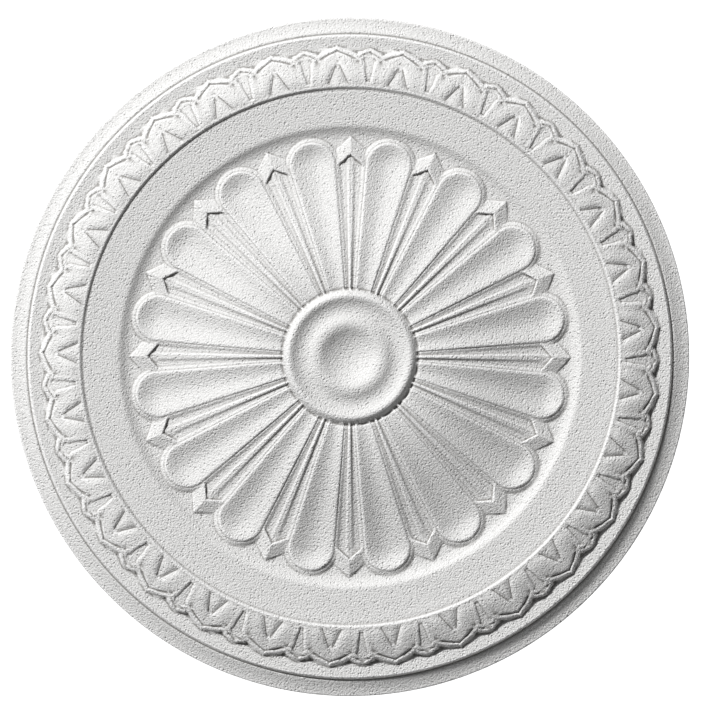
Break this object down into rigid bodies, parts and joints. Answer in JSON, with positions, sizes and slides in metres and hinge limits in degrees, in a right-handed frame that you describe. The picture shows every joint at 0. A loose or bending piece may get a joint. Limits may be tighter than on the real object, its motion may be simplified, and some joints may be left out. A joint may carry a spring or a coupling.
{
  "type": "ceiling rose",
  "caption": "Round moulded foam ceiling rose: stepped rim, leaf border, flat ring, fluted petals with darts on a dome, and a dished boss; glued on by its flat back.",
  "frame": {"origin": "centre of the flat back, which is glued to the ceiling", "axes": "+Z out of the ornamented face, away from the back; +X and +Y run through two darts, a quarter turn apart. The rose lies on its back, and is turned over to be fixed."},
  "size_m": [0.4, 0.4, 0.037],
  "materials": {
    "foam": "matt white moulded foam with a fine closed grain"
  },
  "bodies": {
    "root": {"ceiling_rose": "foam"}
  },
  "joints": []
}
